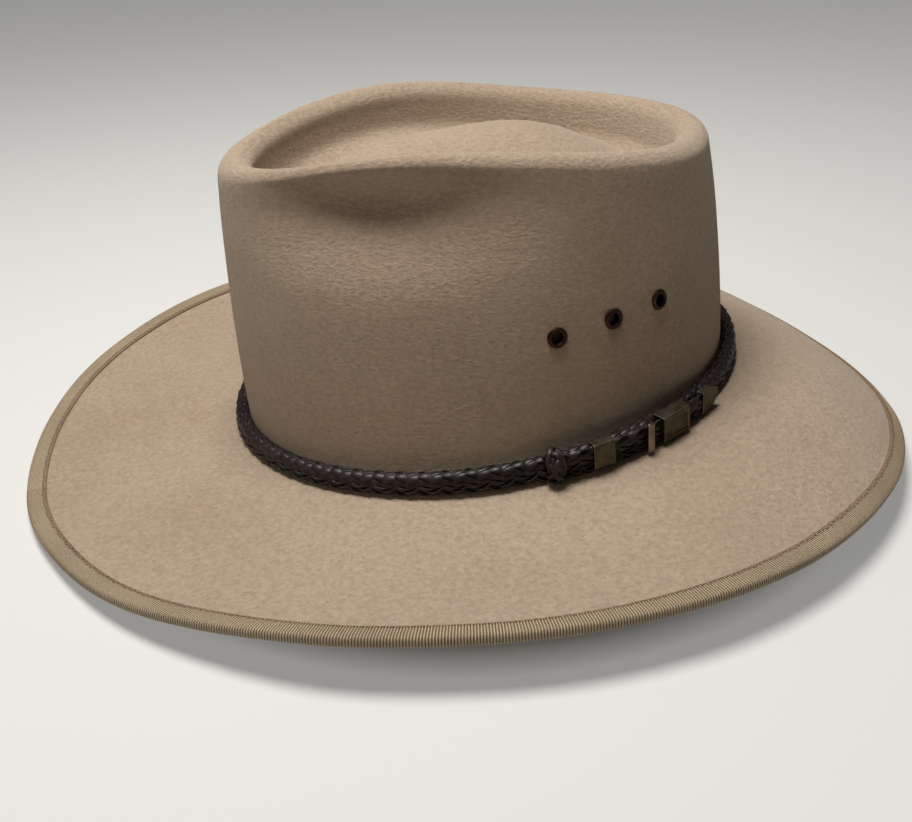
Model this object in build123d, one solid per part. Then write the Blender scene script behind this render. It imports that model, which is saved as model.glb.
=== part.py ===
from build123d import *
import os
from math import cos, exp, hypot, pi, radians, sin

# Soft felt hat with a wide curved brim, pinched telescope crown, plaited band and buckle.
# Millimetres. Front of the hat is -Y, the wearer's left is +X, up is +Z.
# The origin is under the middle of the outline, on the level the brim edge rests on.
# Around the hat an angle t is used: 0 at the front, a quarter turn at the wearer's left.

# ---------------------------------------------------------------- crown
BREAK_LENGTH = 103.6        # half length of the oval where crown and brim meet
BREAK_WIDTH = 88.5          # half width of the same oval
BREAK_CENTRE = 9.7          # its centre on Y
BREAK_HEIGHT = (21.1, -9.75, 0.2)
CREST_LENGTH = 90.7         # half length of the rounded rim on top of the crown
CREST_WIDTH = 66.0
CREST_CENTRE = 6.6
CREST_PINCH = 4.5           # the rim is drawn in at the two front corners
CREST_HEIGHT = (129.5, 1.3, -3.2, -2.5)
RIM_RADIUS = 6.5            # roundness of the rim
WALL_BOW = 1.6              # how far the crown wall bellies out
DENT_DEPTH = 11.5           # thumb dent in each front corner
DENT_ANGLE = radians(50)
DENT_SPREAD = radians(26)
DENT_HEIGHT = 113.5
DENT_REACH = (11.0, 27.0)   # fading distance above and below the dent
CROWN_FELT = 2.0            # thickness of the crown felt

WALL_RINGS = (0.06, 0.14, 0.36, 0.56, 0.7, 0.82, 0.92)

# rings of the telescope crown, inward from the rim: (out, up) measured from the crest
RIM_ROLL = ((6.5, -6.5), (5.6, -3.2), (3.3, -0.9), (0, 0), (-3.3, -0.9), (-6.6, -4.2))
MOAT = ((-8.0, -10.5), (-10.5, -16.8), (-15.5, -20.0))
MOAT_OPEN = 0.25            # how much wider the moat is at the back
# rings of the dome: half length, half width, centre, height, lift of the front end
DOME = (
    (62.0, 40.5, 8.0, 112.2, -2.5),
    (57.0, 35.0, 8.0, 115.8, 0.0),
    (50.0, 28.5, 9.0, 119.8, 1.0),
    (38.0, 20.5, 11.0, 123.4, 1.0),
    (20.0, 11.0, 14.5, 126.2, 0.0),
)
DOME_PINCH = 4.0

# ---------------------------------------------------------------- brim
BRIM_WIDTH = (85.2, 6.6, -0.2)
BRIM_FELT = 2.4
BRIM_RINGS = (1, 0.91, 0.66, 0.42, 0.2, 0.06)
BRIM_START = (-0.081, -0.116, 0.049, 0.066, -0.066)   # slope at the crown
BRIM_TURN = (-0.067, 0.532, -0.309, -0.135, 0.091)    # slope gained on the way out

# ---------------------------------------------------------------- trim and band
BINDING_WIDTH = 7.0
BINDING_RIBBON = 0.6
BINDING_GAP = 0.15
BAND_HEIGHT = (8.4, -1.5)   # rather taller at the back
BAND_THICKNESS = 4.7
BAND_THINNED = 1.6          # the band is this much thinner behind the buckle strap
STRAP_BACK = 6.5            # buckle strap, measured outward from the break oval
STRAP_FRONT = 8.6
STRAP_LOW = 2.8             # and upward from the break
STRAP_HIGH = 11.0
STRAP_START = radians(84.2)
STRAP_END = radians(122.6)
KNOT_AT = radians(85.2)
KEEPER_AT = radians(94.7)
BUCKLE_AT = radians(107.2)
PLATE_AT = radians(112.1)
PLATE_LENGTH = 14.2
METAL = 0.6                 # sheet thickness of keeper and plate loop
SLIP = 0.45                 # room between the strap and its loops
BAR_OUT = 5.4               # hinge bar of the buckle, outward from the break oval
BAR_RADIUS = 0.6
BAR_BORE = 0.66
HOOP_REACH = (-4.2, 4.6)    # outer bar of the buckle, seen from the hinge bar
HOOP_BAR = (3.2, 12.2, 1.8) # the outer bar is a rounded flat bar
ARM_RADIUS = 0.7
HOOP_HALF = 5.45
EYELETS = {                 # angle and height above the break
    "front": (radians(88.7), 50.4),
    "middle": (radians(101.4), 51.5),
    "rear": (radians(113.5), 51.9),
}
EYELET_BORE = 2.2
EYELET_FLANGE = 4.2
SWEAT_UP = 33.0
SWEAT_LEATHER = 1.1

POINTS = 48                 # points on each ring


def wave(terms, t):
    return sum(c * cos(k * t) for k, c in enumerate(terms))


def oval(length, width, centre, t):
    """Point on an oval and its outward direction, seen from above."""
    x, y = width * sin(t), centre - length * cos(t)
    nx, ny = sin(t) / width, -cos(t) / length
    n = hypot(nx, ny)
    return x, y, nx / n, ny / n


def brim_point(t, s, lift=0.0):
    """s runs from 0 at the crown to 1 at the edge; lift is along the felt's normal."""
    x, y, nx, ny = oval(BREAK_LENGTH, BREAK_WIDTH, BREAK_CENTRE, t)
    width = wave(BRIM_WIDTH, t) * s
    start, turn = wave(BRIM_START, t), wave(BRIM_TURN, t) * s
    chord = width * (sin(turn / 2) / (turn / 2) if abs(turn) > 1e-6 else 1)
    out = chord * cos(start + turn / 2) - lift * sin(start + turn)
    up = chord * sin(start + turn / 2) + lift * cos(start + turn)
    return Vector(x + nx * out, y + ny * out, wave(BREAK_HEIGHT, t) + up)


def dent(t, z):
    """How far a thumb dent pushes the felt in."""
    side = abs((t + pi) % (2 * pi) - pi)
    reach = DENT_REACH[0] if z > DENT_HEIGHT else DENT_REACH[1]
    return DENT_DEPTH * exp(-((side - DENT_ANGLE) / DENT_SPREAD) ** 2 - ((z - DENT_HEIGHT) / reach) ** 2)


def crest_point(t, out=0.0, up=0.0):
    x, y, nx, ny = oval(CREST_LENGTH, CREST_WIDTH, CREST_CENTRE, t)
    out += CREST_PINCH * cos(3 * t)
    return Vector(x + nx * out, y + ny * out, wave(CREST_HEIGHT, t) + up)


def rim_point(t, out, up):
    """The outer half of the rim gives way with the dent below it."""
    share = min(1, max(0, out / 6.6 + 0.5))
    return crest_point(t, out - share * dent(t, wave(CREST_HEIGHT, t) + up), up)


def moat_point(t, out, up):
    """The moat's wall is steep in front and opens out to the back."""
    return crest_point(t, out * (1 + MOAT_OPEN * (1 - cos(t)) / 2), up)


def wall_point(t, k, out=0.0):
    """k runs from 0 at the brim to 1 where the wall rolls into the rim."""
    length = BREAK_LENGTH + (CREST_LENGTH - BREAK_LENGTH) * k
    width = BREAK_WIDTH + (CREST_WIDTH - BREAK_WIDTH) * k
    centre = BREAK_CENTRE + (CREST_CENTRE - BREAK_CENTRE) * k
    x, y, nx, ny = oval(length, width, centre, t)
    z = wave(BREAK_HEIGHT, t) * (1 - k) + (wave(CREST_HEIGHT, t) - RIM_RADIUS) * k
    out += (RIM_RADIUS + CREST_PINCH * cos(3 * t)) * k + WALL_BOW * 4 * k * (1 - k) - dent(t, z)
    return Vector(x + nx * out, y + ny * out, z)


def dome_point(t, ring):
    length, width, centre, height, front = ring
    x, y, nx, ny = oval(length, width, centre, t)
    out = DOME_PINCH * cos(3 * t) * length / 60
    return Vector(x + nx * out, y + ny * out, height + front * cos(t))


def around(point):
    return [point(2 * pi * i / POINTS) for i in range(POINTS)]


def closed(points):
    return Wire([Edge.make_spline(points, periodic=True, parameters=range(POINTS + 1))])


def inward(rings, depth):
    """The same rings moved through the felt, square to its surface."""
    result = []
    for i in range(1, len(rings) - 1):
        row = []
        for j in range(POINTS):
            along = rings[i + 1][j] - rings[i - 1][j]
            round_ = rings[i][(j + 1) % POINTS] - rings[i][j - 1]
            row.append(rings[i][j] + along.cross(round_).normalized() * depth)
        result.append(row)
    return result


def strip(first, second):
    return Shell.make_loft([first, second], True).faces()


def sewn(faces):
    return Solid(Shell(faces))


def hoop(corners):
    """A closed ring with a polygon section: each corner is a function of t."""
    wires = [closed(around(corner)) for corner in corners]
    return sewn([f for a, b in zip(wires, wires[1:] + wires[:1]) for f in strip(a, b)])


def length_of(corners, start, end, steps=12):
    """An open length of polygon section between two angles."""
    turn = [start + (end - start) * i / steps for i in range(steps + 1)]
    lines = [Edge.make_spline([corner(t) for t in turn]) for corner in corners]
    faces = [Face.make_surface_from_curves(a, b) for a, b in zip(lines, lines[1:] + lines[:1])]
    for t in (start, end):
        faces.append(Face(Wire.make_polygon([corner(t) for corner in corners])))
    return sewn(faces)


def felt_body():
    """One moulded felt: ruled bands between rings, outside and inside, closed at edge and dome."""
    brim = [around(lambda t, s=s: brim_point(t, s)) for s in BRIM_RINGS]
    under = [around(lambda t, s=s: brim_point(t, s, -BRIM_FELT)) for s in BRIM_RINGS]
    crown = [around(lambda t: wall_point(t, 0.012, 1.3))]
    crown += [around(lambda t, k=k: wall_point(t, k)) for k in WALL_RINGS]
    crown += [around(lambda t, r=r: rim_point(t, *r)) for r in RIM_ROLL]
    crown += [around(lambda t, r=r: moat_point(t, *r)) for r in MOAT]
    crown += [around(lambda t, r=r: dome_point(t, r)) for r in DOME]
    inner = inward([brim[-1]] + crown, CROWN_FELT)
    inner.append([p - Vector(0, 0, CROWN_FELT) for p in crown[-1]])
    outside = [closed(r) for r in brim + crown]
    inside = [closed(r) for r in under + inner]
    faces = Shell.make_loft(outside, True).faces() + Shell.make_loft(inside, True).faces()
    faces += strip(outside[0], inside[0]) + [Face(outside[-1]), Face(inside[-1])]
    body = sewn(faces)
    for side in (1, -1):
        for angle, up in EYELETS.values():
            body -= wall_plane(side * angle, up) * Cylinder(EYELET_BORE + 0.55, 16)
    return body


def brim_binding():
    """Ribbon folded over the brim edge: u is outward from the edge, v is along the felt's normal."""
    def corner(u, v):
        return lambda t: brim_point(t, 1 + u / wave(BRIM_WIDTH, t), v)
    gap, ribbon, low = BINDING_GAP, BINDING_RIBBON, -BRIM_FELT - BINDING_GAP
    face = gap + ribbon
    return hoop([corner(u, v) for u, v in (
        (-BINDING_WIDTH, gap), (-BINDING_WIDTH, face), (0, face), (face, -BRIM_FELT / 2),
        (0, low - ribbon), (-BINDING_WIDTH, low - ribbon), (-BINDING_WIDTH, low), (gap, low), (gap, gap))])


def thinning(t):
    """1 behind the buckle strap, 0 elsewhere."""
    t = (t + pi) % (2 * pi) - pi
    return exp(-((t - radians(105)) / radians(27)) ** 6)


def band_point(t, out, up):
    x, y, nx, ny = oval(BREAK_LENGTH, BREAK_WIDTH, BREAK_CENTRE, t)
    return Vector(x + nx * out, y + ny * out, wave(BREAK_HEIGHT, t) + up)


def wall_up(t, up, out=0.0):
    """Point on the crown wall a given height above the break."""
    rise = wave(CREST_HEIGHT, t) - RIM_RADIUS - wave(BREAK_HEIGHT, t)
    return wall_point(t, up / rise, out)


def wall_plane(t, up):
    """Plane on the crown wall: x runs to the back, z points out of the hat."""
    here = wall_up(t, up)
    along = wall_up(t + 0.01, up) - wall_up(t - 0.01, up)
    climb = wall_up(t, up + 1) - wall_up(t, up - 1)
    return Plane(here, x_dir=along, z_dir=along.cross(climb))


def strap_plane(t, out, up):
    """Plane beside the strap: x runs along it to the back, y up, z out of the hat."""
    along = band_point(t + 0.01, out, up) - band_point(t - 0.01, out, up)
    x, y, nx, ny = oval(BREAK_LENGTH, BREAK_WIDTH, BREAK_CENTRE, t)
    return Plane(band_point(t, out, up), x_dir=along, z_dir=Vector(nx, ny, 0))


def hat_band():
    def under(out, up, thins=0.0):
        return lambda t: band_point(t, out - thins * BAND_THINNED * thinning(t),
                                    up + 0.85 * out * wave(BRIM_START, t))

    def above(out, down, thins):
        return lambda t: band_point(t, out - thins * BAND_THINNED * thinning(t),
                                    wave(BAND_HEIGHT, t) - down)

    low, deep = 1.0, BAND_THICKNESS + 1
    return hoop([
        lambda t: wall_up(t, wave(BAND_HEIGHT, t) - 0.4, 0.3), under(2.0, low + 0.8),
        under(deep - 1, low, 1), above(deep, 5.2, 1), above(deep - 0.8, 1.2, 1), above(deep - 3.2, 0, 0.5)])


def strap_corners(grow=0.0):
    low, high = STRAP_LOW - grow, STRAP_HIGH + grow
    back, front = STRAP_BACK - grow, STRAP_FRONT + grow
    return [lambda t, c=c: band_point(t, *c) for c in ((back, low), (front, low), (front, high), (back, high))]


def buckle_strap():
    strap = length_of(strap_corners(), STRAP_START, STRAP_END)
    return strap - buckle_plane() * Pos(-1.95, 0, 2) * Box(5.3, 1.5, 6)


def band_knot():
    """Leather knot over band and strap, open towards the crown."""
    shell = [(4.6, -0.3), (6.8, -0.75), (8.8, 0.0), (9.9, 2.4), (10.2, 6.2),
             (9.9, 10.2), (9.0, 12.2), (5.5, 12.7), (2.6, 12.3)]
    room = [(1.0, 11.3), (1.0, 0.12), (8.75, 0.4), (8.75, 11.3)]
    half = radians(2.5)

    def run(points, reach):
        corners = [lambda t, c=c: band_point(t, *c) for c in points]
        return length_of(corners, KNOT_AT - reach, KNOT_AT + reach, 4)

    return run(shell, half) - run(room, half * 1.2)


def loop(at, length, back):
    """Metal loop round the strap; back is where its rear face lies."""
    middle_up = (STRAP_LOW + STRAP_HIGH) / 2
    plane = strap_plane(at, 0, middle_up)
    tall = STRAP_HIGH - STRAP_LOW + 2 * SLIP
    front = STRAP_FRONT + SLIP + METAL
    block = Pos(0, 0, (back + front) / 2) * Box(length, tall + 2 * METAL, front - back)
    block = fillet(block.edges().filter_by(Axis.X), 0.5)
    deep = STRAP_FRONT - STRAP_BACK + 2 * SLIP
    hole = Pos(0, 0, (STRAP_BACK + STRAP_FRONT) / 2) * Box(length + 2, tall, deep)
    return plane, block - hole


def band_keeper():
    plane, block = loop(KEEPER_AT, 8.6, STRAP_BACK - SLIP - METAL)
    return plane * block


def plate_keeper():
    """Wide loop with a bare plate and a raised border on its front."""
    plane, block = loop(PLATE_AT, PLATE_LENGTH, BAND_THICKNESS + 1 - BAND_THINNED + 0.1)
    front = STRAP_FRONT + SLIP + METAL
    plate = Pos(0, 0, front + 0.3) * Box(PLATE_LENGTH, 10.4, 0.8)
    plate = chamfer(plate.faces().sort_by(Axis.Z)[-1].edges(), 0.3)
    field = Pos(0, 0, front + 0.65) * Box(PLATE_LENGTH - 2.4, 8.0, 0.7)
    return plane * (block + plate - field)


def buckle_plane():
    return strap_plane(BUCKLE_AT, BAR_OUT, (STRAP_LOW + STRAP_HIGH) / 2)


def rod(start, end, radius):
    start, end = Vector(*start), Vector(*end)
    whole = Cylinder(radius, (end - start).length, align=(Align.CENTER, Align.CENTER, Align.MIN))
    return Plane(start, z_dir=end - start) * whole


def buckle_frame():
    x, z = HOOP_REACH
    bar = Box(*HOOP_BAR)
    bar = fillet(bar.edges().filter_by(Axis.Y), 0.8)
    bar = chamfer(bar.faces().filter_by(Axis.Y).edges(), 0.35)
    frame = rod((0, -HOOP_HALF, 0), (0, HOOP_HALF, 0), BAR_RADIUS) + Pos(x, 0, z) * bar
    for y in (-HOOP_HALF, HOOP_HALF):
        frame += rod((0, y, 0), (x, y, z), ARM_RADIUS)
        frame += rod((0, y - ARM_RADIUS, 0), (0, y + ARM_RADIUS, 0), ARM_RADIUS)
    return buckle_plane() * frame


def buckle_prong():
    x, z = HOOP_REACH
    eye = rod((0, -0.75, 0), (0, 0.75, 0), 0.98)
    shank = rod((0, 0, 0), (x * 0.8, 0, z * 0.8 - 0.55), 0.5)
    return buckle_plane() * (eye + shank - rod((0, -2, 0), (0, 2, 0), BAR_BORE))


def buckle_chape():
    """Leather fold that holds the hinge bar to the band, split for the prong."""
    back = BAND_THICKNESS + 1 - BAND_THINNED + 0.1 - BAR_OUT
    front = STRAP_BACK - 0.1 - BAR_OUT
    fold = Pos(0, 0, (back + front) / 2) * Box(3.2, 8.6, front - back)
    fold -= Pos(-1.45, 0, 0) * Box(5, 2.3, 8)
    return buckle_plane() * (fold - rod((0, -8, 0), (0, 8, 0), BAR_BORE))


def strap_tip():
    """Metal end of the buckle strap, rounded above and pointed at the end."""
    plane = strap_plane(STRAP_END, 0, (STRAP_LOW + STRAP_HIGH) / 2)
    outline = Polyline((-2.6, 4.7), (3.2, 4.7), (7.0, 3.0), (8.9, -0.5), (6.8, -3.0), (3.2, -4.7), (-2.6, -4.7),
                       close=True)
    back, front = STRAP_BACK - 0.45, STRAP_FRONT + 0.45
    shield = Pos(0, 0, back) * extrude(make_face(outline), front - back)
    room = Pos(-1.6, 0, (STRAP_BACK + STRAP_FRONT) / 2) * Box(5.0, 8.5, STRAP_FRONT - STRAP_BACK + 0.35)
    return plane * (shield - room)


def eyelet(t, up):
    """Vent eyelet in one piece: flange outside, barrel through the felt, rolled over inside."""
    bore, barrel, flange = EYELET_BORE, EYELET_BORE + 0.5, EYELET_FLANGE
    profile = [(bore, 0.75), (bore, -2.7), (3.6, -2.7), (3.6, -2.2), (barrel, -2.2), (barrel, 0.1),
               (flange, 0.1), (flange, 0.75)]
    return wall_plane(t, up) * turned(profile)


def turned(profile):
    points = [(r, 0, z) for r, z in profile]
    return revolve(Face(Wire.make_polygon(points)), Axis.Z)


def sweatband():
    outer, leather = CROWN_FELT + 0.4, SWEAT_LEATHER
    levels = (-2.8, 15, SWEAT_UP)
    outside = [lambda t, u=u: wall_up(t, u, -outer) for u in levels]
    inside = [lambda t, u=u: wall_up(t, u, -outer - leather) for u in reversed(levels)]
    return hoop(outside + inside)


def sweatband_reed():
    def corner(a):
        return lambda t: band_point(t, -1.15 + cos(a), -1.5 + sin(a))
    return hoop([corner(pi / 4 + pi * i / 2) for i in range(4)])


def sweatband_bow():
    """Flat ribbon bow sewn inside the sweatband at the back, its ends against the leather."""
    outline = [(-11.5, -4), (-9.5, 4), (-1.5, 1.8), (1.5, 1.8), (9.5, 4), (11.5, -4), (1.5, -1.8), (-1.5, -1.8)]
    plane = wall_plane(pi, 8)
    face = -CROWN_FELT - 0.4 - SWEAT_LEATHER - 1.3
    bow = extrude(make_face(Polyline(*outline, close=True)), -1.2)
    knot = Pos(0, 0, -0.7) * Box(3.6, 5, 1.8)
    return plane * Pos(0, 0, face) * (bow + knot)


parts = {
    "felt_body": felt_body(),
    "brim_binding": brim_binding(),
    "sweatband": sweatband(),
    "sweatband_reed": sweatband_reed(),
    "sweatband_bow": sweatband_bow(),
    "hat_band": hat_band(),
    "buckle_strap": buckle_strap(),
    "band_knot": band_knot(),
    "band_keeper": band_keeper(),
    "plate_keeper": plate_keeper(),
    "buckle_frame": buckle_frame(),
    "buckle_prong": buckle_prong(),
    "buckle_chape": buckle_chape(),
    "strap_tip": strap_tip(),
}
for side, sign in (("left", 1), ("right", -1)):
    for place, (angle, up) in EYELETS.items():
        parts[f"eyelet_{side}_{place}"] = eyelet(sign * angle, up)

os.makedirs("parts", exist_ok=True)
for name, solid in parts.items():
    export_step(solid, f"parts/{name}.step")
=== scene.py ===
from bisect import bisect_right
from math import copysign, cos, exp, hypot, pi, radians, sin

import bmesh
import bpy
from mathutils import Matrix, Vector, noise


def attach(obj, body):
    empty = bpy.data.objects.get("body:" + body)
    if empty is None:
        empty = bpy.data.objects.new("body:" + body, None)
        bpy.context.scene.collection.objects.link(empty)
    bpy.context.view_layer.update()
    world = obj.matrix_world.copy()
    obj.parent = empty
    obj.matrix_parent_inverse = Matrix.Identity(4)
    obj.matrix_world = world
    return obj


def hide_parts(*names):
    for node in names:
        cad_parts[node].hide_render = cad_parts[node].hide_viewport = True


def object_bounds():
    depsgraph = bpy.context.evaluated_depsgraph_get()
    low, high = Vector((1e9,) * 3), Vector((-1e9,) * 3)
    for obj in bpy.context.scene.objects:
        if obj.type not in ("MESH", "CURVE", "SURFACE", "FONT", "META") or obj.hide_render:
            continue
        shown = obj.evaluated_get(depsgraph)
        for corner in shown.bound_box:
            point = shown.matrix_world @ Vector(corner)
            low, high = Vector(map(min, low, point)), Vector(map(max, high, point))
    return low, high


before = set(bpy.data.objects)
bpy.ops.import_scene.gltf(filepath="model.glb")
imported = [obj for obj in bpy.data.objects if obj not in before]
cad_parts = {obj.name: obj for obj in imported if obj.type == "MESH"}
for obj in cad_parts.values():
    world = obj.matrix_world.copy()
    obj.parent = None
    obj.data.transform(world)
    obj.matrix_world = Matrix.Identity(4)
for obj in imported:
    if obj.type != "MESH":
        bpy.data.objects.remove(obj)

# A fixed seed gives the felt the same unevenness each time.
noise.seed_set(7)

cad_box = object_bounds()
MM = 0.001

# ------------------------------------------------------------------ shape of the hat, in millimetres
# Around the hat an angle t is used: 0 at the front, a quarter turn at the wearer's left.
BREAK_LENGTH, BREAK_WIDTH, BREAK_CENTRE = 103.6, 88.5, 9.7
BREAK_HEIGHT = (21.1, -9.75, 0.2)
CREST_LENGTH, CREST_WIDTH, CREST_CENTRE, CREST_PINCH = 90.7, 66.0, 6.6, 4.5
CREST_HEIGHT = (129.5, 1.3, -3.2, -2.5)
RIM_RADIUS, WALL_BOW = 6.5, 1.6
FELT_THICKNESS = 2.1
# A thumb dent: its depth and height, where it is and how far it spreads round the crown, and
# over what distance it fades above and below.
DENT_DEPTH, DENT_HEIGHT = 11.5, 117.5
DENT_ANGLE, DENT_SPREAD = radians(50), radians(26)
DENT_REACH = (11.5, 18.5)
# Width of the rim over which it gives way with the dent.
RIM_GIVE = 6.6
RIM_ROLL = ((6.5, -6.5), (5.6, -3.2), (3.3, -0.9), (0, 0), (-3.3, -0.9), (-6.6, -4.2))
MOAT = ((-7.0, -10.5), (-8.6, -17.0), (-14.0, -20.4))
MOAT_OPEN = 0.22
DOME = (
    (62.0, 40.5, 8.0, 112.2, -2.5),
    (58.0, 36.0, 8.0, 115.0, -0.5),
    (52.0, 30.0, 8.5, 119.0, 1.0),
    (43.0, 23.5, 10.0, 122.3, 1.0),
    (31.0, 16.5, 12.5, 124.8, 0.5),
    (18.0, 9.5, 15.0, 126.3, 0.0),
    (8.0, 4.5, 16.5, 126.8, 0.0),
)
DOME_PINCH = 4.0
DOME_TOP = (17.0, 126.9)
BRIM_WIDTH = (85.2, 6.6, -0.2)
BRIM_START = (-0.081, -0.116, 0.049, 0.066, -0.066)
BRIM_TURN = (-0.067, 0.532, -0.309, -0.135, 0.091)
STRAP_START, STRAP_END, STRAP_MIDDLE_ANGLE = radians(84.2), radians(122.6), radians(103.5)
KNOT_AT = radians(85.2)
BUCKLE_AT = radians(107.2)
BAND_HEIGHT = (8.4, -1.5)
# Slow unevenness of hand-worked felt: its amount, its size, and the length it starts from.
UNEVEN_AMOUNT, UNEVEN_SIZE, UNEVEN_LENGTH = 0.9, 55.0, 105
VENT_HOLE_RADIUS = 2.6
VENTS = {"front": (radians(88.7), 50.4), "middle": (radians(101.4), 51.5), "rear": (radians(113.5), 51.9)}


def wave(terms, t):
    return sum(c * cos(k * t) for k, c in enumerate(terms))


def oval(length, width, centre, t):
    x, y = width * sin(t), centre - length * cos(t)
    nx, ny = sin(t) / width, -cos(t) / length
    n = hypot(nx, ny)
    return x, y, nx / n, ny / n


def brim_point(t, s, lift=0.0):
    x, y, nx, ny = oval(BREAK_LENGTH, BREAK_WIDTH, BREAK_CENTRE, t)
    width = wave(BRIM_WIDTH, t) * s
    start, turn = wave(BRIM_START, t), wave(BRIM_TURN, t) * s
    chord = width * (sin(turn / 2) / (turn / 2) if abs(turn) > 1e-6 else 1)
    out = chord * cos(start + turn / 2) - lift * sin(start + turn)
    up = chord * sin(start + turn / 2) + lift * cos(start + turn)
    return Vector((x + nx * out, y + ny * out, wave(BREAK_HEIGHT, t) + up))


def dent(t, z):
    """How far a thumb dent pushes the felt in."""
    side = abs((t + pi) % (2 * pi) - pi)
    reach = DENT_REACH[0] if z > DENT_HEIGHT else DENT_REACH[1]
    return DENT_DEPTH * exp(-((side - DENT_ANGLE) / DENT_SPREAD) ** 2 - ((z - DENT_HEIGHT) / reach) ** 2)


def crest_point(t, out, up):
    x, y, nx, ny = oval(CREST_LENGTH, CREST_WIDTH, CREST_CENTRE, t)
    out += CREST_PINCH * cos(3 * t)
    return Vector((x + nx * out, y + ny * out, wave(CREST_HEIGHT, t) + up))


def rim_point(t, out, up):
    """The outer half of the rim gives way with the dent below it."""
    share = min(1, max(0, out / RIM_GIVE + 0.5))
    return crest_point(t, out - share * dent(t, wave(CREST_HEIGHT, t) + up), up)


def moat_point(t, out, up):
    """The moat's wall is steep in front and opens out to the back."""
    return crest_point(t, out * (1 + MOAT_OPEN * (1 - cos(t)) / 2), up)


def wall_point(t, k, out=0.0):
    length = BREAK_LENGTH + (CREST_LENGTH - BREAK_LENGTH) * k
    width = BREAK_WIDTH + (CREST_WIDTH - BREAK_WIDTH) * k
    centre = BREAK_CENTRE + (CREST_CENTRE - BREAK_CENTRE) * k
    x, y, nx, ny = oval(length, width, centre, t)
    z = wave(BREAK_HEIGHT, t) * (1 - k) + (wave(CREST_HEIGHT, t) - RIM_RADIUS) * k
    out += (RIM_RADIUS + CREST_PINCH * cos(3 * t)) * k + WALL_BOW * 4 * k * (1 - k) - dent(t, z)
    return Vector((x + nx * out, y + ny * out, z))


def wall_up(t, up, out=0.0):
    rise = wave(CREST_HEIGHT, t) - RIM_RADIUS - wave(BREAK_HEIGHT, t)
    return wall_point(t, up / rise, out)


def dome_point(t, ring):
    length, width, centre, height, front = ring
    x, y, nx, ny = oval(length, width, centre, t)
    out = DOME_PINCH * cos(3 * t) * length / 60
    return Vector((x + nx * out, y + ny * out, height + front * cos(t)))


def band_point(t, out, up):
    x, y, nx, ny = oval(BREAK_LENGTH, BREAK_WIDTH, BREAK_CENTRE, t)
    return Vector((x + nx * out, y + ny * out, wave(BREAK_HEIGHT, t) + up))


def felt_stations():
    """Rings of the felt from the brim edge over the crown to the middle of the dome."""
    rings = [lambda t, s=s: brim_point(t, s) for s in (1, 0.93, 0.83, 0.7, 0.55, 0.4, 0.26, 0.14, 0.06)]
    rings.append(lambda t: wall_point(t, 0.012, 1.3))
    wall_steps = (0.06, 0.14, 0.26, 0.4, 0.52, 0.62, 0.7, 0.78, 0.86, 0.93)
    rings += [lambda t, k=k: wall_point(t, k) for k in wall_steps]
    rings += [lambda t, r=r: rim_point(t, *r) for r in RIM_ROLL]
    rings += [lambda t, r=r: moat_point(t, *r) for r in MOAT]
    rings += [lambda t, r=r: dome_point(t, r) for r in DOME]
    rings.append(lambda t: Vector((0, *DOME_TOP)))
    return rings


def smooth_between(a, b, c, d, f):
    """Point between b and c on the smooth curve through all four."""
    bend = 2 * a - 5 * b + 4 * c - d
    twist = 3 * b - a - 3 * c + d
    return 0.5 * (2 * b + (c - a) * f + bend * f * f + twist * f ** 3)


def smooth_through(stops, v):
    """Point at v, from 0 to 1, on the smooth curve through a few stops."""
    last = len(stops) - 1
    i = min(int(v * last), last - 1)
    a, b, c, d = (Vector(stops[min(max(k, 0), last)]) for k in (i - 1, i, i + 1, i + 2))
    return smooth_between(a, b, c, d, v * last - i)


def hand_shaped(p):
    """Adds the unevenness of the felt: none near the band, all of it on the crown top and brim."""
    away = hypot(p.x / BREAK_WIDTH, (p.y - BREAK_CENTRE) / UNEVEN_LENGTH)
    free = max(0.0, min(1.0, (away - 1.25) / 0.3))
    top = max(0.0, min(1.0, (p.z - 85) / 25))
    amount = UNEVEN_AMOUNT * max(free, top)
    return p + amount * Vector(noise.noise_vector(p / UNEVEN_SIZE))


def paced(point, start=0.0, end=2 * pi, steps=1440):
    """Returns t for u from 0 to 1 so that equal steps of u are equal lengths of the line."""
    places = [point(start + (end - start) * i / steps) for i in range(steps + 1)]
    runs = [0.0]
    for p, q in zip(places, places[1:]):
        runs.append(runs[-1] + (q - p).length)
    total = runs[-1]

    def angle(u):
        i = min(max(bisect_right(runs, u * total) - 1, 0), steps - 1)
        return start + (end - start) * (i + (u * total - runs[i]) / (runs[i + 1] - runs[i])) / steps
    return angle, total


# ------------------------------------------------------------------ making pieces
def finished(name, bm, material, smooth=True):
    mesh = bpy.data.meshes.new(name)
    bm.to_mesh(mesh)
    bm.free()
    if smooth:
        mesh.polygons.foreach_set("use_smooth", [True] * len(mesh.polygons))
    piece = bpy.data.objects.new(name, mesh)
    bpy.context.collection.objects.link(piece)
    piece.data.materials.append(material)
    return piece


def laid(bm, columns, rows, place):
    """Adds a grid of faces; place gives the point in millimetres for u and v from 0 to 1."""
    made = bmesh.ops.create_grid(bm, x_segments=columns, y_segments=rows, size=0.5, calc_uvs=True)
    for v in made["verts"]:
        v.co = place(v.co.x + 0.5, v.co.y + 0.5) * MM
    bmesh.ops.remove_doubles(bm, verts=made["verts"], dist=2e-6)


def new_mesh():
    bm = bmesh.new()
    bm.loops.layers.uv.new("UVMap")
    return bm


def faced_out(bm):
    bmesh.ops.recalc_face_normals(bm, faces=bm.faces)
    return bm


def baked(piece):
    """Applies the modifiers on a piece."""
    graph = bpy.context.evaluated_depsgraph_get()
    mesh = bpy.data.meshes.new_from_object(piece.evaluated_get(graph))
    piece.modifiers.clear()
    piece.data = mesh
    return piece


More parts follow.
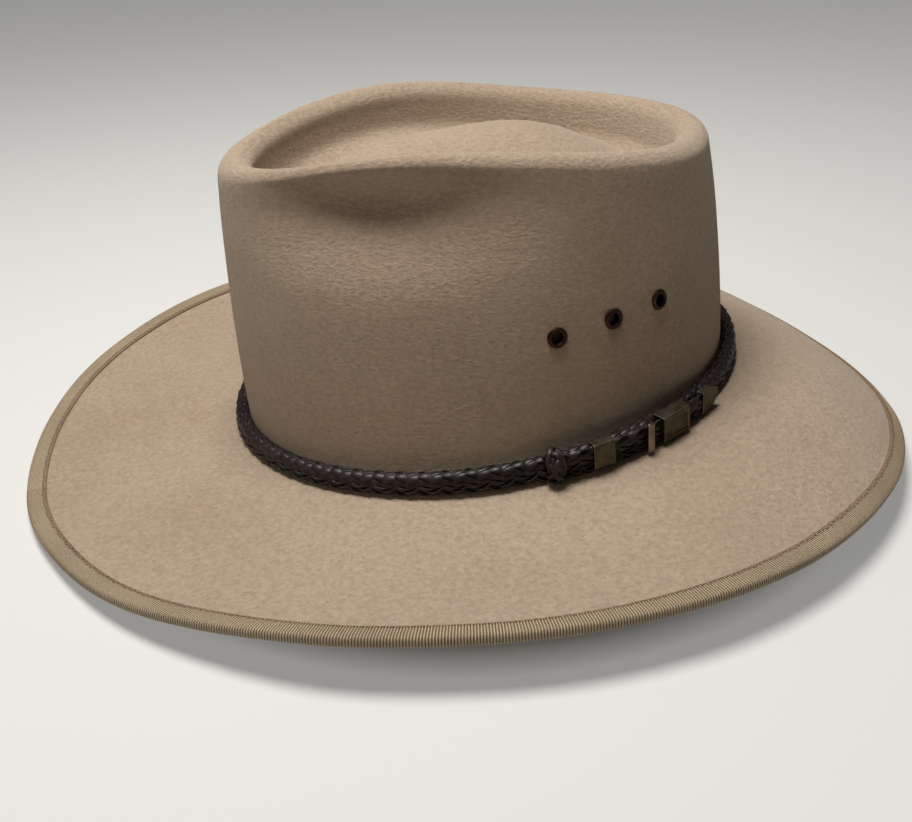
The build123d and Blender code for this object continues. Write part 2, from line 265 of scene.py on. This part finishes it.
# ------------------------------------------------------------------ finishes
def material(name, base, roughness=0.7, metallic=0.0):
    m = bpy.data.materials.new(name)
    m.use_nodes = True
    shader = m.node_tree.nodes["Principled BSDF"]
    shader.inputs["Base Color"].default_value = (*base, 1)
    shader.inputs["Roughness"].default_value = roughness
    shader.inputs["Metallic"].default_value = metallic
    return m, m.node_tree, shader


def node(tree, kind, **values):
    n = tree.nodes.new(kind)
    for key, value in values.items():
        if key in n.inputs:
            n.inputs[key].default_value = value
        else:
            setattr(n, key, value)
    return n


def objects_coords(tree):
    return node(tree, "ShaderNodeTexCoord").outputs["Object"]


def speckle(tree, scale, detail=2.0, rough=0.5, where=None):
    n = node(tree, "ShaderNodeTexNoise", Scale=scale, Detail=detail, Roughness=rough)
    tree.links.new(where if where is not None else objects_coords(tree), n.inputs["Vector"])
    return n


def graded(tree, fac, stops):
    ramp = node(tree, "ShaderNodeValToRGB")
    e = ramp.color_ramp.elements
    while len(e) < len(stops):
        e.new(0.5)
    for item, (at, colour) in zip(e, stops):
        item.position = at
        item.color = (*colour, 1)
    tree.links.new(fac, ramp.inputs["Fac"])
    return ramp.outputs["Color"]


def blended(tree, fac, a, b, kind="MIX"):
    """Mixes two colours; sockets 6 and 7 in and 2 out are the colour ones of a Mix node."""
    mix = node(tree, "ShaderNodeMix", data_type="RGBA", blend_type=kind)
    for value, socket in ((fac, mix.inputs["Factor"]), (a, mix.inputs[6]), (b, mix.inputs[7])):
        if isinstance(value, bpy.types.NodeSocket):
            tree.links.new(value, socket)
        else:
            socket.default_value = value
    return mix.outputs[2]


def bumped(tree, shader, heights):
    """Stacks bumps: each is (height socket, strength, distance in metres)."""
    before = None
    for height, strength, distance in heights:
        b = node(tree, "ShaderNodeBump")
        b.inputs["Strength"].default_value = strength
        b.inputs["Distance"].default_value = distance
        tree.links.new(height, b.inputs["Height"])
        if before is not None:
            tree.links.new(before, b.inputs["Normal"])
        before = b.outputs["Normal"]
    tree.links.new(before, shader.inputs["Normal"])


def fur_felt():
    m, tree, shader = material("fur_felt_sand", (0.42, 0.32, 0.24), 0.92)
    shader.inputs["Sheen Weight"].default_value = 0.35
    shader.inputs["Sheen Roughness"].default_value = 0.45
    shader.inputs["Sheen Tint"].default_value = (1.0, 0.93, 0.86, 1)
    shader.inputs["Specular IOR Level"].default_value = 0.15
    brushed = node(tree, "ShaderNodeMapping", Scale=(1, 1, 1.9))
    tree.links.new(objects_coords(tree), brushed.inputs["Vector"])
    clouds = speckle(tree, 14, 3, 0.55)
    nap = speckle(tree, 470, 5, 0.70, brushed.outputs["Vector"])
    fibre = speckle(tree, 1500, 2, 0.6, brushed.outputs["Vector"])
    sand = [(0.32, (0.400, 0.297, 0.214)), (0.5, (0.425, 0.323, 0.234)), (0.68, (0.445, 0.345, 0.250))]
    tone = graded(tree, clouds.outputs["Fac"], sand)
    grain = graded(tree, nap.outputs["Fac"], [(0.35, (0.82, 0.81, 0.79)), (0.65, (1.13, 1.13, 1.13))])
    tree.links.new(blended(tree, 1.0, tone, grain, "MULTIPLY"), shader.inputs["Base Color"])
    bumped(tree, shader, [(clouds.outputs["Fac"], 0.25, 0.002),
                          (nap.outputs["Fac"], 1.0, 0.0015),
                          (fibre.outputs["Fac"], 0.6, 0.0004)])
    return m


def grosgrain(ribs):
    """Ribbed ribbon; the ribs are counted along the piece's own map."""
    m, tree, shader = material("grosgrain_khaki", (0.22, 0.17, 0.09), 0.7)
    along = node(tree, "ShaderNodeSeparateXYZ")
    tree.links.new(node(tree, "ShaderNodeUVMap").outputs["UV"], along.inputs["Vector"])
    turns = node(tree, "ShaderNodeMath", operation="MULTIPLY")
    turns.inputs[1].default_value = 2 * pi * ribs
    tree.links.new(along.outputs["X"], turns.inputs[0])
    rib = node(tree, "ShaderNodeMath", operation="COSINE")
    tree.links.new(turns.outputs[0], rib.inputs[0])
    height = node(tree, "ShaderNodeMath", operation="MULTIPLY_ADD")
    height.inputs[1].default_value = 0.5
    height.inputs[2].default_value = 0.5
    tree.links.new(rib.outputs[0], height.inputs[0])
    # Painted shade in the rib grooves and painted highlight on the rib crests, following the rib height.
    rib_shade_and_highlight = graded(tree, height.outputs[0], [(0.15, (0.45, 0.39, 0.31)), (0.85, (1.75, 1.75, 1.72))])
    # Darker along both of the ribbon's inner margins.
    dark, plain = (0.72, 0.58, 0.47), (1, 1, 1)
    inner_margin_tone = graded(tree, along.outputs["Y"], [(0.11, dark), (0.20, plain), (0.80, plain), (0.89, dark)])
    shader.inputs["Sheen Weight"].default_value = 0.2
    shader.inputs["Sheen Roughness"].default_value = 0.4
    weave = speckle(tree, 1500, 2)
    clouds = speckle(tree, 25, 2)
    tone = graded(tree, clouds.outputs["Fac"], [(0.3, (0.215, 0.166, 0.106)), (0.7, (0.268, 0.210, 0.138))])
    thread = graded(tree, weave.outputs["Fac"], [(0.3, (0.78, 0.78, 0.78)), (0.7, (1.12, 1.12, 1.12))])
    woven = blended(tree, 1.0, blended(tree, 1.0, tone, thread, "MULTIPLY"), inner_margin_tone, "MULTIPLY")
    tree.links.new(blended(tree, 1.0, woven, rib_shade_and_highlight, "MULTIPLY"), shader.inputs["Base Color"])
    bumped(tree, shader, [(height.outputs[0], 0.5, 0.0002), (weave.outputs["Fac"], 0.4, 0.0002)])
    return m


def leather(name, dark, light, roughness, grain=900):
    m, tree, shader = material(name, light, roughness)
    shader.inputs["Specular IOR Level"].default_value = 0.36
    clouds = speckle(tree, 60, 3)
    pores = speckle(tree, grain, 2, 0.6)
    tone = graded(tree, clouds.outputs["Fac"], [(0.3, dark), (0.7, light)])
    tree.links.new(tone, shader.inputs["Base Color"])
    bumped(tree, shader, [(pores.outputs["Fac"], 0.35, 0.0003)])
    return m


def bronze(name, dark, bright, wear_and_highlight, roughness):
    """Stained metal, lighter on its edges: partly wear and partly painted highlight."""
    m, tree, shader = material(name, bright, roughness, 1.0)
    stain = speckle(tree, 220, 4, 0.6)
    fine = speckle(tree, 1500, 2)
    tone = graded(tree, stain.outputs["Fac"], [(0.35, dark), (0.62, bright)])
    rounded = node(tree, "ShaderNodeBevel", samples=6, Radius=0.45 * MM)
    turned = node(tree, "ShaderNodeVectorMath", operation="DOT_PRODUCT")
    tree.links.new(rounded.outputs["Normal"], turned.inputs[0])
    tree.links.new(node(tree, "ShaderNodeNewGeometry").outputs["Normal"], turned.inputs[1])
    # Lighter edges: partly rubbed wear, partly a painted highlight.
    edge = graded(tree, turned.outputs["Value"], [(0.80, (1, 1, 1)), (0.97, (0, 0, 0))])
    tree.links.new(blended(tree, edge, tone, (*wear_and_highlight, 1)), shader.inputs["Base Color"])
    grain = node(tree, "ShaderNodeBump", Strength=0.25, Distance=0.0001)
    tree.links.new(fine.outputs["Fac"], grain.inputs["Height"])
    tree.links.new(rounded.outputs["Normal"], grain.inputs["Normal"])
    tree.links.new(grain.outputs["Normal"], shader.inputs["Normal"])
    return m


def thread(name, colour):
    m, tree, shader = material(name, colour, 0.75)
    twist = speckle(tree, 2600, 1)
    shade = tuple(c * 0.7 for c in colour)
    tone = graded(tree, twist.outputs["Fac"], [(0.3, shade), (0.7, colour)])
    tree.links.new(tone, shader.inputs["Base Color"])
    bumped(tree, shader, [(twist.outputs["Fac"], 0.4, 0.0001)])
    return m


FELT = fur_felt()
RIBS = 1180
RIBBON = grosgrain(RIBS)
LINING = leather("band_lining_leather", (0.008, 0.006, 0.005), (0.02, 0.014, 0.011), 0.6)
PLAIT = leather("plaited_dark_leather", (0.0080, 0.0053, 0.0050), (0.024, 0.0158, 0.0148), 0.45)
SWEAT = leather("sweatband_leather", (0.20, 0.105, 0.05), (0.30, 0.17, 0.085), 0.5, 700)
# The third colour of each bronze is for its edges: partly wear and partly painted highlight.
BRONZE = bronze("antique_bronze", (0.050, 0.044, 0.030), (0.110, 0.098, 0.066), (0.34, 0.31, 0.23), 0.48)
WORN_HIGHLIT_BRONZE = bronze("worn_highlit_bronze", (0.12, 0.107, 0.075), (0.27, 0.245, 0.18), (0.80, 0.76, 0.64), 0.28)
EYELET = bronze("eyelet_bronze", (0.020, 0.011, 0.008), (0.055, 0.030, 0.021), (0.10, 0.055, 0.038), 0.45)
THREAD = thread("binding_thread", (0.105, 0.062, 0.036))
BROWN_THREAD = thread("sweatband_thread", (0.22, 0.14, 0.08))
BOW = thread("bow_ribbon", (0.08, 0.05, 0.03))


# ------------------------------------------------------------------ felt body
def on_plane(here, along, out):
    """Turns (along, up, out) in millimetres at a place into a point of the hat."""
    z = out.normalized()
    x = (along - along.dot(z) * z).normalized()
    y = z.cross(x)
    return lambda a, b, c: here + a * x + b * y + c * z


def wall_spot(t, up):
    here = wall_up(t, up)
    along = wall_up(t + 0.01, up) - wall_up(t - 0.01, up)
    climb = wall_up(t, up + 1) - wall_up(t, up - 1)
    return on_plane(here, along, along.cross(climb))


def strap_spot(t, out, up):
    along = band_point(t + 0.01, out, up) - band_point(t - 0.01, out, up)
    nx, ny = oval(BREAK_LENGTH, BREAK_WIDTH, BREAK_CENTRE, t)[2:]
    return on_plane(band_point(t, out, up), along, Vector((nx, ny, 0)))


def felt_hat():
    rings = felt_stations()
    around, between = 240, 4
    count = len(rings) - 1
    table = {}

    def station(i, column):
        key = (i, column)
        if key not in table:
            table[key] = rings[i](2 * pi * column / around)
        return table[key]

    def place(u, v):
        column = round(u * around) % around
        step = round(v * count * between)
        i = min(step // between, count - 1)
        f = step / between - i
        a, d = max(i - 1, 0), min(i + 2, count)
        stops = (station(k, column) for k in (a, i, i + 1, d))
        return hand_shaped(smooth_between(*stops, f))

    bm = new_mesh()
    laid(bm, around, count * between, place)
    piece = finished("felt_crown_and_brim", faced_out(bm), FELT)
    thick = piece.modifiers.new("felt", "SOLIDIFY")
    thick.thickness = FELT_THICKNESS * MM
    thick.offset = -1
    thick.use_even_offset = True
    return baked(punched(piece))


def punched(piece):
    """Cuts the vent holes through the crown wall."""
    bm = bmesh.new()
    for side in (1, -1):
        for angle, up in VENTS.values():
            spot = wall_spot(side * angle, up)

            def place(u, v, spot=spot):
                a = 2 * pi * u
                return spot(VENT_HOLE_RADIUS * cos(a), VENT_HOLE_RADIUS * sin(a), 8 - 16 * v)
            laid(bm, 24, 1, place)
    bmesh.ops.holes_fill(bm, edges=bm.edges)
    drill = finished("drill", faced_out(bm), FELT)
    cut = piece.modifiers.new("vents", "BOOLEAN")
    cut.operation = "DIFFERENCE"
    cut.solver = "EXACT"
    cut.object = drill
    baked(piece)
    bpy.data.objects.remove(drill)
    return piece


def placed(piece, node_name, body="hat"):
    if node_name:
        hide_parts(node_name)
    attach(piece, body)
    return piece


placed(felt_hat(), "felt_body")


# ------------------------------------------------------------------ bound edge
# Section of the folded ribbon: out from the brim edge, and up from the felt's top face.
BINDING_SECTION = (
    (-6.9, -0.1), (-7.02, 0.4), (-6.75, 0.68), (-5.6, 0.74), (-4.2, 0.75), (-2.8, 0.75), (-1.2, 0.74),
    (0.1, 0.6), (0.66, 0.05), (0.78, -0.8), (0.76, -1.7), (0.55, -2.5), (0.0, -3.0), (-1.2, -3.14),
    (-3.2, -3.15), (-5.2, -3.15), (-6.7, -3.1), (-7.0, -2.8), (-6.9, -2.0))
BINDING_FACES = (0.74, -3.15)
RIB_HEIGHT, RIBBON_SLACK = 0.11, 0.10
SEAM_LINE = (-5.6, 0.75)
STITCH_AT, STITCH_PITCH, STITCH_SLANT = -5.75, 1.55, 0.8
STITCH_LENGTH, STITCH_THICKNESS = 1.75, 0.46


def brim_spot(t, u, v):
    """u millimetres outward from the brim edge, lifted v from the felt."""
    return hand_shaped(brim_point(t, 1 + u / wave(BRIM_WIDTH, t), v))


def brim_binding():
    section = BINDING_SECTION
    rows = len(section) - 1
    columns = RIBS * 4
    angle = paced(lambda t: brim_spot(t, 0, 0))[0]
    turns = [angle((i % columns) / columns) for i in range(columns + 1)]

    def place(u, v):
        column, row = round(u * columns), round(v * rows)
        x, y = section[row]
        inside = min(row, rows - row)
        if inside > 1:
            (ax, ay), (bx, by) = section[row - 1], section[row + 1]
            n = hypot(bx - ax, by - ay)
            rib = (RIB_HEIGHT, 0.0, -RIB_HEIGHT, 0.0)[column % 4]
            at = Vector((cos(turns[column]) * 9, sin(turns[column]) * 9, row * 0.25))
            slack = RIBBON_SLACK * noise.noise(at)
            x -= (ay - by) / n * -(rib + slack)
            y += (bx - ax) / n * (rib + slack)
        return brim_spot(turns[column], x, y)

    bm = new_mesh()
    laid(bm, columns, rows, place)
    return finished("brim_edge_binding", faced_out(bm), RIBBON)


def stitch(bm, here, along, out, length, thick):
    """One small seed-shaped stitch."""
    z = out.normalized()
    x = (along - along.dot(z) * z).normalized()
    turn = Matrix((z.cross(x), z, x)).transposed().to_4x4()
    size = Matrix.Diagonal((thick / 2 * MM, thick / 2 * MM, length / 2 * MM, 1))
    place = Matrix.Translation(here * MM) @ turn @ size
    bmesh.ops.create_uvsphere(bm, u_segments=6, v_segments=4, radius=1, matrix=place)


def sewn_row(name, material, stitches):
    """Makes all stitches of a row, a few at a time, as one piece."""
    whole = bmesh.new()
    for first in range(0, len(stitches), 30):
        bm = bmesh.new()
        for one in stitches[first:first + 30]:
            stitch(bm, *one)
        part = bpy.data.meshes.new("part")
        bm.to_mesh(part)
        bm.free()
        whole.from_mesh(part)
        bpy.data.meshes.remove(part)
    return finished(name, whole, material)


def binding_stitches():
    """Slanting stitches, each leaning the other way, on both faces of the binding."""
    angle, length = paced(lambda t: brim_spot(t, *SEAM_LINE))
    count = int(length / STITCH_PITCH)
    row = []
    for face in BINDING_FACES:
        for i in range(count):
            t = angle((i + 0.5) / count)
            slant = STITCH_SLANT if i % 2 else -STITCH_SLANT
            here = brim_spot(t, STITCH_AT, face)
            end = brim_spot(t + 0.004, STITCH_AT + slant, face)
            start = brim_spot(t - 0.004, STITCH_AT - slant, face)
            out = brim_spot(t, STITCH_AT, face * 2) - here
            row.append((here, end - start, out, STITCH_LENGTH, STITCH_THICKNESS))
    return sewn_row("binding_stitches", THREAD, row)


placed(brim_binding(), "brim_binding")
placed(binding_stitches(), None)


# ------------------------------------------------------------------ plaited band, strap and knot
# Section of one lace of the plait, for a half width and a half thickness of 1.
LACE = ((-1, 0.0), (-0.72, 0.8), (0, 1.1), (0.72, 0.8), (1, 0.0), (0.72, -0.7), (0, -0.8), (-0.72, -0.7))


def flat_round(angle, half_out, half_up, squareness):
    """A rounded section; the smaller the squareness, the flatter its sides."""
    c, s = cos(angle), sin(angle)
    return copysign(abs(c) ** squareness, c) * half_out, copysign(abs(s) ** squareness, s) * half_up


def lace(bm, path, columns, width, thick):
    """A flat lace along a path; path gives its middle and the direction that its flat faces."""
    half = 0.5 / columns
    frames = []
    for i in range(columns + 1):
        u = i / columns
        here, out = path(u)
        ahead = path(u + half)[0] - path(u - half)[0]
        out = (out - out.dot(ahead.normalized()) * ahead.normalized()).normalized()
        frames.append((here, ahead.cross(out).normalized(), out))
    corners = len(LACE)

    def place(u, v):
        here, side, out = frames[round(u * columns)]
        a, b = LACE[round(v * corners) % corners]
        return here + side * (a * width / 2) + out * (b * thick / 2)
    laid(bm, columns, corners, place)


BAND_OUT, BAND_HALF_THICK, BAND_THINNED, BAND_SQUARENESS = 3.1, 2.0, 0.35, 0.5
FOOT_SPREAD, FOOT_DROP = 2.3, 0.9


def under_strap(t, reach):
    """1 where the buckle strap lies over the band, and 0 elsewhere."""
    return exp(-(((t + pi) % (2 * pi) - pi - STRAP_MIDDLE_ANGLE) / reach) ** 8)


def band_middle(t):
    """Middle and half size of the band's section, thinner and further in behind the buckle strap."""
    behind = under_strap(t, radians(26))
    high = wave(BAND_HEIGHT, t)
    thinned = BAND_THINNED * behind
    return BAND_OUT - thinned, (1.4 + high) / 2, BAND_HALF_THICK - thinned, (high - 1.6) / 2


BAND_ANGLE = paced(lambda t: band_point(t, 3.2, 5.0))[0]
BAND_WALK = paced(lambda a: Vector((*flat_round(a, 2.2, 3.7, BAND_SQUARENESS), 0)), steps=240)[0]


def band_surface(u, girth, lift):
    """The band's outside; its foot follows the brim and spreads under the buckle strap."""
    t = BAND_ANGLE(u % 1.0)
    out, up, half_out, half_up = band_middle(t)
    a, b = flat_round(BAND_WALK(girth % 1.0), half_out + lift, half_up + lift, BAND_SQUARENESS)
    low = 0.85 * (out + a) * wave(BRIM_START, t) * max(0.0, 1 - (b + half_up) / 4)
    foot = under_strap(t, radians(20)) * max(0.0, 1 - (b + half_up) / 3) * max(0.0, a / half_out)
    return band_point(t, out + a - 0.1 * b + FOOT_SPREAD * foot, up + b + low - FOOT_DROP * foot)


def plaited_band():
    """Flat laces wound both ways round the band, each going over and under the others."""
    bm = new_mesh()
    turns, strands = 9, 8
    clear, weave = 0.05, 0.42
    for lay in (1, -1):
        for k in range(strands):
            def path(u, lay=lay, k=k):
                girth = lay * turns * u + k / strands
                lift = clear + weave * lay * cos(2 * pi * strands * turns * u)
                here = band_surface(u, girth, lift)
                return here, here - band_surface(u, girth, lift - 1.2)
            lace(bm, path, columns=648, width=2.9, thick=0.85)
    return finished("plaited_hat_band", bm, PLAIT)


def band_lining():
    bm = new_mesh()
    laid(bm, 240, 24, lambda u, v: band_surface(u % 1.0, v, -0.5))
    return finished("band_lining", faced_out(bm), LINING)


STRAP_OUT, STRAP_MIDDLE = 7.55, 6.9
STRAP_HALF_OUT, STRAP_HALF_UP, STRAP_SQUARENESS = 0.5, 3.6, 0.8
STRAP_ANGLE = paced(lambda t: band_point(t, STRAP_OUT, STRAP_MIDDLE), STRAP_START, STRAP_END)[0]
STRAP_WALK = paced(
    lambda a: Vector((*flat_round(a, STRAP_HALF_OUT, STRAP_HALF_UP, STRAP_SQUARENESS), 0)), steps=240)[0]


def strap_surface(u, girth, lift):
    t = STRAP_START + (STRAP_END - STRAP_START) * u if not 0 <= u <= 1 else STRAP_ANGLE(u)
    a, b = flat_round(STRAP_WALK(girth % 1.0), STRAP_HALF_OUT + lift, STRAP_HALF_UP + lift, STRAP_SQUARENESS)
    return band_point(t, STRAP_OUT + a, STRAP_MIDDLE + b)


def plaited_strap():
    bm = new_mesh()
    turns, strands = 1.8, 5
    clear, weave = 0.02, 0.24
    for lay in (1, -1):
        for k in range(strands):
            def path(u, lay=lay, k=k):
                girth = lay * turns * u + k / strands
                lift = clear + weave * lay * cos(2 * pi * strands * turns * u)
                here = strap_surface(u, girth, lift)
                return here, here - strap_surface(u, girth, lift - 0.4)
            lace(bm, path, columns=150, width=2.75, thick=0.62)
    laid(bm, 60, 20, lambda u, v: strap_surface(u, v, -0.2))
    return finished("plaited_buckle_strap", faced_out(bm), PLAIT)


def knot_surface(along, angle, lift):
    spot = strap_spot(KNOT_AT, 5.6, 6.0)
    swell = 1 - 0.05 * along * along
    a, b = flat_round(angle, (4.3 + lift) * swell, (6.1 + lift) * swell, 0.8)
    return spot(along, b, a)


def turks_head():
    """Leather knot of one lace going three times round band and strap."""
    bm = new_mesh()

    def path(u):
        w = 6 * pi * u
        lift = 0.35 + 0.5 * sin(8 * w / 3)
        along = 2.9 * cos(4 * w / 3)
        return knot_surface(along, w, lift), knot_surface(along, w, lift) - knot_surface(along, w, lift - 2)
    lace(bm, path, columns=260, width=2.5, thick=1.15)
    laid(bm, 10, 40, lambda u, v: knot_surface(-3.4 + 6.8 * u, 2 * pi * v, -0.3))
    return finished("band_knot_lace", faced_out(bm), PLAIT)


def hinge_fold():
    """Fold of leather round the buckle's hinge bar."""
    spot = strap_spot(BUCKLE_AT, 5.45, STRAP_MIDDLE)
    bm = new_mesh()
    for side in (1, -1):
        def place(u, v, side=side):
            a, b = flat_round(2 * pi * v, 1.55, 0.85, 0.7)
            return spot(a, side * (1.2 + 3.0 * u), b)
        laid(bm, 12, 28, place)
    bmesh.ops.holes_fill(bm, edges=bm.edges)
    return finished("hinge_fold", faced_out(bm), PLAIT)


placed(plaited_band(), "hat_band")
placed(band_lining(), None)
placed(plaited_strap(), "buckle_strap")
placed(turks_head(), "band_knot")
placed(hinge_fold(), "buckle_chape")


# ------------------------------------------------------------------ sweatband inside the crown
# Section of the sweatband: out from the crown's outside, and up from the break.
SWEAT_SECTION = (
    (-2.45, -2.6), (-2.45, 6), (-2.45, 18), (-2.45, 30), (-2.55, 32.6), (-3.0, 33.2), (-3.45, 32.6),
    (-3.5, 30), (-3.55, 18), (-3.5, 6), (-3.4, -1.8), (-3.0, -2.7), (-2.45, -2.6))


def sweat_leather():
    rows = (len(SWEAT_SECTION) - 1) * 3

    def place(u, v):
        out, up, _ = smooth_through([(*p, 0) for p in SWEAT_SECTION], v)
        t = 2 * pi * u
        inner_face = out < -2.9
        ripple = 0.12 * noise.noise(Vector((cos(t) * 4, sin(t) * 4, up * 0.05))) if inner_face else 0
        return wall_up(t, up, out + ripple)

    bm = new_mesh()
    laid(bm, 360, rows, place)
    return finished("sweatband_leather", faced_out(bm), SWEAT)


def reed():
    turns = 420

    def place(u, v):
        t = 2 * pi * u
        wrap = 1.0 + 0.09 * cos(2 * pi * (turns * u + v))
        a = 2 * pi * v
        return band_point(t, -1.2 + wrap * cos(a), -1.6 + wrap * sin(a))

    bm = new_mesh()
    laid(bm, turns * 4, 12, place)
    return finished("sweatband_reed_cord", faced_out(bm), BROWN_THREAD)


def sweat_stitches():
    count = 260
    row = []
    for up, length in ((3.2, 1.7), (29.8, 1.5)):
        angle = paced(lambda t: wall_up(t, up, -3.55))[0]
        for i in range(count):
            t = angle((i + 0.5) / count)
            here = wall_up(t, up, -3.6)
            ahead = wall_up(t + 0.01, up, -3.6) - wall_up(t - 0.01, up, -3.6)
            row.append((here, ahead, wall_up(t, up, -9) - here, length, 0.4))
    return sewn_row("sweatband_stitches", BROWN_THREAD, row)


def ribbon_bow():
    spot = wall_spot(pi, 8)
    bm = new_mesh()
    for side in (1, -1):
        def loop(u, v, side=side):
            a = 2 * pi * u
            reach = side * (5.6 - 5.2 * cos(a))
            wide = 1.5 + 2.3 * (1 - cos(a)) / 2
            return spot(reach, (2 * v - 1) * wide, -4.5 - 1.1 * sin(a))

        def tail(u, v, side=side):
            return spot(side * (1 + 7.5 * u), (2 * v - 1) * 1.7 - 4.2 * u, -4.3 - 0.5 * sin(3 * u))
        laid(bm, 28, 6, loop)
        laid(bm, 10, 4, tail)
    laid(bm, 12, 6, lambda u, v: spot(1.7 * cos(2 * pi * u), (2 * v - 1) * 2.3, -4.6 + 1.5 * sin(2 * pi * u)))
    piece = finished("sweatband_ribbon_bow", faced_out(bm), BOW)
    thick = piece.modifiers.new("ribbon", "SOLIDIFY")
    thick.thickness = 0.3 * MM
    thick.offset = 0
    return baked(piece)


placed(sweat_leather(), "sweatband")
placed(reed(), "sweatband_reed")
placed(sweat_stitches(), None)
placed(ribbon_bow(), "sweatband_bow")


# ------------------------------------------------------------------ metal
# Section of an eyelet: radius, and height over the felt.
EYELET_PROFILE = (
    (2.05, -2.9), (2.05, -1.5), (2.05, -0.2), (2.25, 0.45), (2.8, 0.75), (3.35, 0.65), (3.75, 0.35),
    (3.85, 0.0), (3.4, -0.05))


def vent_eyelet(name, t, up):
    spot = wall_spot(t, up)

    def place(u, v):
        r, z, _ = smooth_through([(*p, 0) for p in EYELET_PROFILE], v)
        return spot(r * cos(2 * pi * u), r * sin(2 * pi * u), z + 0.1)

    def roll(u, v):
        a = 2 * pi * v
        r = 2.9 + 0.75 * cos(a)
        return spot(r * cos(2 * pi * u), r * sin(2 * pi * u), -2.65 + 0.4 * sin(a))

    bm = new_mesh()
    laid(bm, 40, 24, place)
    laid(bm, 40, 10, roll)
    return finished(name, faced_out(bm), EYELET)


for side, sign in (("left", 1), ("right", -1)):
    for where, (angle, up) in VENTS.items():
        eyelet = vent_eyelet(f"vent_{side}_{where}", sign * angle, up)
        placed(eyelet, f"eyelet_{side}_{where}")

METAL = {"band_keeper": BRONZE, "plate_keeper": BRONZE, "strap_tip": BRONZE,
         "buckle_frame": WORN_HIGHLIT_BRONZE, "buckle_prong": WORN_HIGHLIT_BRONZE}
for name, metal in METAL.items():
    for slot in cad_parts[name].material_slots:
        slot.material = metal


# ------------------------------------------------------------------ stage, light and camera
HAT_MIDDLE = Vector((0, 0, 0.06))
FLOOR_SIZE, FLOOR_GAP = 6, 0.0005
# Near the hat the floor is plain; further out a share of a pale glow is mixed in for the camera.
GLOW_FROM, GLOW_FULL, GLOW_SHARE = 0.15, 0.17, 0.30


def stage():
    bm = bmesh.new()
    bmesh.ops.create_grid(bm, x_segments=1, y_segments=1, size=FLOOR_SIZE)
    m, tree, shader = material("pale_floor", (0.64, 0.63, 0.61), 0.9)
    glow = node(tree, "ShaderNodeEmission", Color=(0.86, 0.86, 0.84, 1))
    seen = node(tree, "ShaderNodeLightPath")
    direct = node(tree, "ShaderNodeMath", operation="MAXIMUM")
    tree.links.new(seen.outputs["Is Camera Ray"], direct.inputs[0])
    tree.links.new(seen.outputs["Is Glossy Ray"], direct.inputs[1])
    far = node(tree, "ShaderNodeVectorMath", operation="LENGTH")
    tree.links.new(objects_coords(tree), far.inputs[0])
    outside = node(tree, "ShaderNodeMapRange")
    outside.inputs["From Min"].default_value = GLOW_FROM
    outside.inputs["From Max"].default_value = GLOW_FULL
    outside.inputs["To Max"].default_value = GLOW_SHARE
    tree.links.new(far.outputs["Value"], outside.inputs["Value"])
    share = node(tree, "ShaderNodeMath", operation="MULTIPLY")
    tree.links.new(outside.outputs["Result"], share.inputs[1])
    tree.links.new(direct.outputs[0], share.inputs[0])
    mix = node(tree, "ShaderNodeMixShader")
    tree.links.new(share.outputs[0], mix.inputs["Fac"])
    tree.links.new(shader.outputs["BSDF"], mix.inputs[1])
    tree.links.new(glow.outputs["Emission"], mix.inputs[2])
    tree.links.new(mix.outputs["Shader"], tree.nodes["Material Output"].inputs["Surface"])
    floor_piece = finished("floor", bm, m, False)
    floor_piece.location.z = cad_box[0].z - FLOOR_GAP


def area(name, place, size, power, colour):
    """A round soft lamp, aimed at the middle of the hat."""
    lamp = bpy.data.lights.new(name, "AREA")
    lamp.shape = "DISK"
    lamp.size = size
    lamp.energy = power
    lamp.color = colour
    holder = bpy.data.objects.new(name, lamp)
    bpy.context.collection.objects.link(holder)
    holder.location = place
    holder.rotation_euler = (HAT_MIDDLE - Vector(place)).to_track_quat("-Z", "Y").to_euler()


stage()
area("key_light", place=(-0.02, -0.12, 0.90), size=0.38, power=10.6, colour=(1.0, 0.98, 0.95))
area("fill_light", place=(0.4, -1.7, 0.8), size=1.4, power=3.4, colour=(1.0, 0.92, 0.825))
world = bpy.data.worlds.new("studio")
world.use_nodes = True
world.node_tree.nodes["Background"].inputs["Color"].default_value = (1.0, 0.91, 0.81, 1)
world.node_tree.nodes["Background"].inputs["Strength"].default_value = 0.06
bpy.context.scene.world = world
bpy.context.scene.view_settings.view_transform = "Standard"

camera = bpy.data.objects.new("camera", bpy.data.cameras.new("camera"))
bpy.context.collection.objects.link(camera)
camera.data.sensor_width = 36
camera.data.lens = 42.69
camera_right = Vector((0.3336, 0.9423, -0.0262))
camera_up = Vector((-0.4373, 0.1793, 0.8813))
camera_back = Vector((0.8352, -0.2826, 0.4719))
camera_turn = Matrix((camera_right, camera_up, camera_back)).transposed().to_4x4()
camera.matrix_world = Matrix.Translation((0.4017, -0.1408, 0.2300)) @ camera_turn
bpy.context.scene.camera = camera
